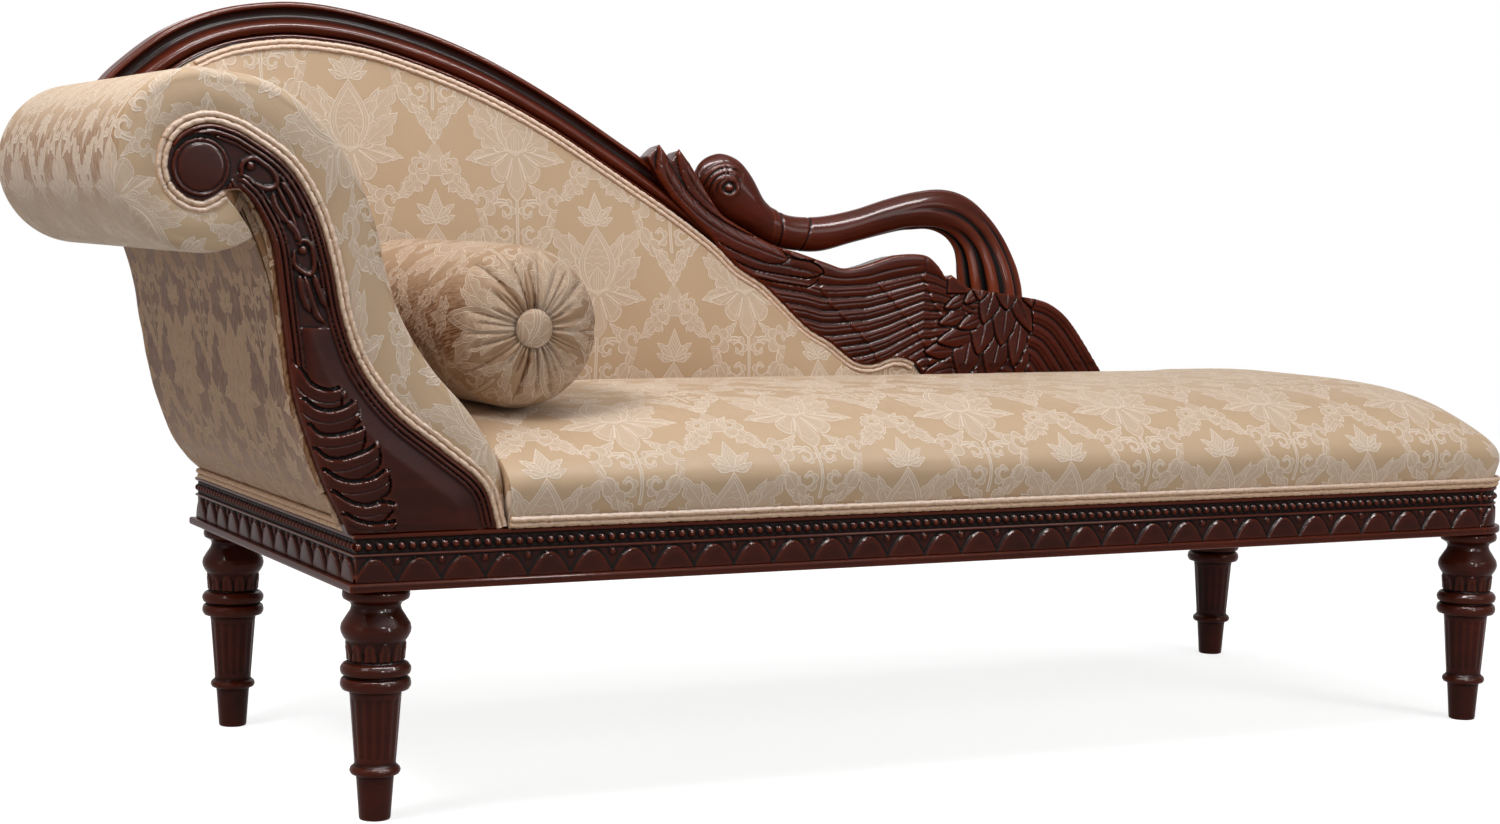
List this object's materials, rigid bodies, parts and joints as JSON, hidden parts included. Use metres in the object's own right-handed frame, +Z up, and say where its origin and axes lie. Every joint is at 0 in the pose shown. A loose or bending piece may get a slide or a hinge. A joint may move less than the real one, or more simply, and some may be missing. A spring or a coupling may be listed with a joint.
{
  "type": "fainting couch",
  "caption": "Carved and upholstered day bed with one scrolled arm, a sweeping back that ends in a carved swan, turned legs and a loose bolster.",
  "frame": {"origin": "on the floor, under the middle of the couch's bounding box", "axes": "+X from the scrolled arm to the foot, +Y from the front to the back, +Z up"},
  "size_m": [1.7999, 0.6284, 0.8844],
  "materials": {
    "carved_wood": "dark red-brown, glossy, darker in the hollows of the carving",
    "frame_wood": "plain, unfinished",
    "steel": "dull",
    "jute": "coarse woven",
    "lining": "thin plain cloth",
    "damask": "beige and gold damask with paler raised leaves"
  },
  "bodies": {
    "root": {"front_rail": "carved_wood", "back_rail": "carved_wood", "head_rail": "carved_wood", "foot_rail": "carved_wood", "foot_corner_front": "carved_wood", "foot_corner_back": "carved_wood", "leg_front_head": "carved_wood", "leg_front_foot": "carved_wood", "leg_back_head": "carved_wood", "leg_back_foot": "carved_wood", "corner_blocks": "frame_wood", "block_screws": "steel", "cross_braces": "frame_wood", "front_ledger": "frame_wood", "back_ledger": "frame_wood", "back_cleat": "frame_wood", "webbing_across": "jute", "webbing_along": "jute", "seat_deck": "jute", "dust_cover": "lining", "seat_cushion": "damask", "seat_piping": "damask", "arm_former_front": "frame_wood", "arm_former_back": "frame_wood", "arm_stretchers": "frame_wood", "roll_core": "frame_wood", "arm_pad_inside": "damask", "arm_pad_roll": "damask", "arm_front_border": "damask", "arm_outside_cover": "damask", "arm_front_panel": "carved_wood", "arm_mouldings": "carved_wood", "arm_boss": "carved_wood", "arm_husks": "carved_wood", "arm_leaf": "carved_wood", "arm_front_piping": "damask", "arm_base_piping": "damask", "back_board": "frame_wood", "back_padding": "damask", "back_outside_cover": "damask", "back_piping": "damask", "crest_rail": "carved_wood", "swan_board": "carved_wood", "swan_dowels": "frame_wood", "wing_feathers": "carved_wood", "breast_feathers": "carved_wood", "tail_feathers": "carved_wood", "swan_neck": "carved_wood", "swan_head": "carved_wood", "bolster_roll": "damask", "bolster_buttons": "damask"}
  },
  "joints": []
}
